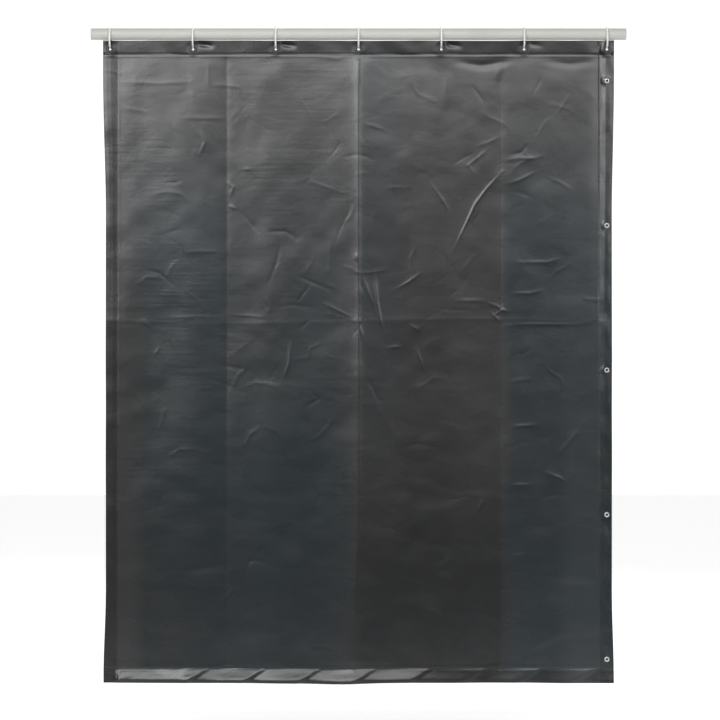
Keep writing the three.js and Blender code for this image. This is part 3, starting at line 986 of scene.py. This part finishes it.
class FilmGrid:
    """Front and back points and normals of the whole film, on one grid."""

    def __init__(self, settings):
        self.across, self.up, self.seams = film_lines(settings)
        x, z = np.meshgrid(self.across, self.up, indexing="ij")
        hem, layer = settings.hem, settings.layer
        tiny = 1e-6
        in_side = np.minimum(x - LEFT, RIGHT - x) < hem - tiny
        in_end = np.minimum(z - BOTTOM, TOP - z) < hem - tiny
        layers = 1 + in_side + in_end + (in_side & in_end)
        shift_x, shift_z = edge_shift(x, z)
        depth = film_relief(x, z, settings)
        self.front = np.stack([x + shift_x, depth - layer / 2, z + shift_z], -1)
        self.front_normal = grid_normals(self.front)
        self.back = self.front - self.front_normal * (layers * layer)[..., None]
        self.back_normal = -grid_normals(self.back)
        self.open = punched_cells(x, z)

    def piece(self, start, end):
        """Vertices, faces and corner normals of the closed sheet between two seams."""
        first = int(np.argmin(abs(self.across - start)))
        last = int(np.argmin(abs(self.across - end)))
        rows = len(self.up)
        parts = self.front, self.back, self.front_normal, self.back_normal
        front, back, front_normal, back_normal = (part[first : last + 1].reshape(-1, 3) for part in parts)
        count = len(front)
        keep = ~self.open[first:last]
        i, j = np.nonzero(keep)
        a, b = i * rows + j, (i + 1) * rows + j
        fronts = np.stack([a, b, b + 1, a + 1], 1)
        backs = np.stack([a, a + 1, b + 1, b], 1) + count
        walls = wall_quads(keep, rows, count)
        faces = np.vstack([fronts, backs, walls])
        points = np.vstack([front, back])
        corner = np.vstack([front_normal, back_normal])[faces]
        wall = points[walls]
        flat = np.cross(wall[:, 1] - wall[:, 0], wall[:, 3] - wall[:, 0])
        corner[len(fronts) + len(backs) :] = unit(flat)[:, None]
        return points, faces, corner


def mesh_from_arrays(name, points, faces, corner_normals):
    used = np.unique(faces)
    order = np.full(len(points), -1)
    order[used] = np.arange(len(used))
    points, faces = points[used], order[faces]
    mesh = bpy.data.meshes.new(name)
    mesh.vertices.add(len(points))
    mesh.vertices.foreach_set("co", points.astype(np.float32).ravel())
    mesh.loops.add(faces.size)
    mesh.loops.foreach_set("vertex_index", faces.astype(np.int32).ravel())
    mesh.polygons.add(len(faces))
    mesh.polygons.foreach_set("loop_start", np.arange(0, faces.size, 4, dtype=np.int32))
    mesh.update(calc_edges=True)
    mesh.shade_smooth()
    mesh.normals_split_custom_set(corner_normals.reshape(-1, 3).astype(np.float32))
    return mesh


def beside_hinge(number):
    """The two bodies on either side of a hinge, counted from the left, and their CAD strips."""
    gap, place = number // 3 + 1, number % 3
    bodies = [f"ring_station_{gap}", f"fold_{gap}_left", f"fold_{gap}_right", f"ring_station_{gap + 1}"]
    strips = ["film_" + body.replace("station", "strip") for body in bodies]
    return bodies[place : place + 2], strips[place : place + 2]


def make_film(settings):
    """The sheet, in pieces that each cross one bend and meet half way between bends.

    A piece stands for the strip left of its hinge, and the last one for the right end too.
    """
    grid = FilmGrid(settings)
    material = film_material(settings)
    for number, hinge in enumerate(HINGE_X):
        start, end = grid.seams[number], grid.seams[number + 1]
        points, faces, normals = grid.piece(start, end)
        mesh = mesh_from_arrays(f"film_{number + 1}", points, faces, normals)
        film = new_object(f"film_{number + 1:02d}", mesh, material)
        (body, next_body), strips = beside_hinge(number)
        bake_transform(film)
        last = number == len(HINGE_X) - 1
        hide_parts(*(strips if last else strips[:1]))


# --- Stage
def area_light(name, spot, target, size, power):
    data = bpy.data.lights.new(name, "AREA")
    data.shape = "RECTANGLE"
    data.size, data.size_y = size
    data.energy = power
    lamp = new_object(name, data)
    lamp.location = spot
    lamp.rotation_euler = (Vector(target) - Vector(spot)).to_track_quat("-Z", "Y").to_euler()


def set_world():
    """White to look at, and as a light bright behind the curtain and dim on the camera's side."""
    shader = Shader("studio", "worlds")
    dim, bright = 0.09, 1.15
    behind = shader.axes("Generated")[1].smooth(0.05, 0.70)
    seen = shader.node("ShaderNodeLightPath", output="Is Camera Ray")
    strength = seen.math("MAXIMUM", dim + (bright - dim) * behind, seen)
    sky = shader.node("ShaderNodeBackground", inputs={"Color": (1, 1, 1), "Strength": strength})
    bpy.context.scene.world = shader.finish(sky, "ShaderNodeOutputWorld")


def set_stage(settings):
    """Floor, lights and a long-lens camera square to the curtain."""
    bpy.context.scene.view_settings.view_transform = "Standard"
    level = BOTTOM - settings.floor_drop
    front_edge, reach = -1.6, 14
    corners = [(-reach, front_edge, level), (reach, front_edge, level), (reach, reach, level), (-reach, reach, level)]
    mesh = bpy.data.meshes.new("floor")
    mesh.from_pydata(corners, [], [(0, 1, 2, 3)])
    new_object("floor", mesh, floor_material())
    set_world()
    middle = (0, 0, (BOTTOM + RAIL_HIGH.z) / 2)
    aim = (0, 0, -0.6)
    area_light("key_soft", (-2.9, -8.4, 1.55), aim, (2.9, 2.8), 265)
    area_light("top_soft", (0.55, -8.4, 2.5), aim, (5.4, 3.0), 290)
    area_light("right_soft", (3.3, -8.0, 0.9), aim, (1.8, 2.6), 75)
    area_light("near_soft", (-0.2, -1.5, 0.85), (0, 0, -0.7), (2.6, 0.6), 9)
    area_light("back_soft", (1.8, 3.2, 1.6), middle, (2.4, 2.0), 60)

    camera = new_object("camera", bpy.data.cameras.new("camera"))
    aim_x, aim_z = 0.004, -0.8925
    camera.location = (aim_x, -settings.camera_distance, aim_z)
    camera.rotation_euler = (math.pi / 2, 0, 0)
    camera.data.lens = camera.data.sensor_width * settings.camera_distance / settings.view_width
    camera.data.clip_end = 100
    bpy.context.scene.camera = camera


# --- Operators
class CURTAIN_OT_set_stage(Operator):
    """Place the floor, the lights and the camera"""

    bl_idname = "curtain.set_stage"
    bl_label = "Set Stage"

    def execute(self, context):
        set_stage(context.scene.curtain_stage)
        return {"FINISHED"}


class CURTAIN_OT_make_rail(Operator):
    """Make the rail tube"""

    bl_idname = "curtain.make_rail"
    bl_label = "Make Rail"

    def execute(self, context):
        make_rail(context.scene.curtain_rail)
        return {"FINISHED"}


class CURTAIN_OT_make_rings(Operator):
    """Make the split plastic rings"""

    bl_idname = "curtain.make_rings"
    bl_label = "Make Rings"

    def execute(self, context):
        make_rings(context.scene.curtain_ring)
        return {"FINISHED"}


class CURTAIN_OT_make_eyelets(Operator):
    """Make the eyelets and their washers"""

    bl_idname = "curtain.make_eyelets"
    bl_label = "Make Eyelets"

    def execute(self, context):
        make_eyelets(context.scene.curtain_eyelet)
        return {"FINISHED"}


class CURTAIN_OT_make_snaps(Operator):
    """Make the press snaps on the right hem"""

    bl_idname = "curtain.make_snaps"
    bl_label = "Make Snaps"

    def execute(self, context):
        make_snaps(context.scene.curtain_snap)
        return {"FINISHED"}


class CURTAIN_OT_make_film(Operator):
    """Make the hemmed film with its creases"""

    bl_idname = "curtain.make_film"
    bl_label = "Make Film"

    def execute(self, context):
        make_film(context.scene.curtain_film)
        return {"FINISHED"}


SETTINGS = {
    "curtain_stage": StageSettings,
    "curtain_rail": RailSettings,
    "curtain_ring": RingSettings,
    "curtain_eyelet": EyeletSettings,
    "curtain_snap": SnapSettings,
    "curtain_film": FilmSettings,
}
OPERATORS = [
    CURTAIN_OT_set_stage,
    CURTAIN_OT_make_rail,
    CURTAIN_OT_make_rings,
    CURTAIN_OT_make_eyelets,
    CURTAIN_OT_make_snaps,
    CURTAIN_OT_make_film,
]


class CURTAIN_PT_pieces(Panel):
    """Lists the curtain's sizes, colours and makers"""

    bl_label = "Welding Curtain"
    bl_idname = "CURTAIN_PT_pieces"
    bl_space_type = "VIEW_3D"
    bl_region_type = "UI"
    bl_category = "Curtain"

    def draw(self, context):
        for operator, name in zip(OPERATORS, SETTINGS):
            box = self.layout.box()
            settings = getattr(context.scene, name)
            for key in settings.bl_rna.properties.keys():
                if key not in {"rna_type", "name"}:
                    box.prop(settings, key)
            box.operator(operator.bl_idname)


def register():
    for name, settings in SETTINGS.items():
        bpy.utils.register_class(settings)
        setattr(bpy.types.Scene, name, PointerProperty(type=settings))
    for operator in OPERATORS:
        bpy.utils.register_class(operator)
    bpy.utils.register_class(CURTAIN_PT_pieces)


def unregister():
    bpy.utils.unregister_class(CURTAIN_PT_pieces)
    for operator in reversed(OPERATORS):
        bpy.utils.unregister_class(operator)
    for name, settings in reversed(SETTINGS.items()):
        delattr(bpy.types.Scene, name)
        bpy.utils.unregister_class(settings)


def main():
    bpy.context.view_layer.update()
    register()
    bpy.ops.curtain.set_stage()
    bpy.ops.curtain.make_rail()
    bpy.ops.curtain.make_rings()
    bpy.ops.curtain.make_eyelets()
    bpy.ops.curtain.make_snaps()
    bpy.ops.curtain.make_film()
    bpy.context.view_layer.update()


if __name__ == "__main__":
    main()
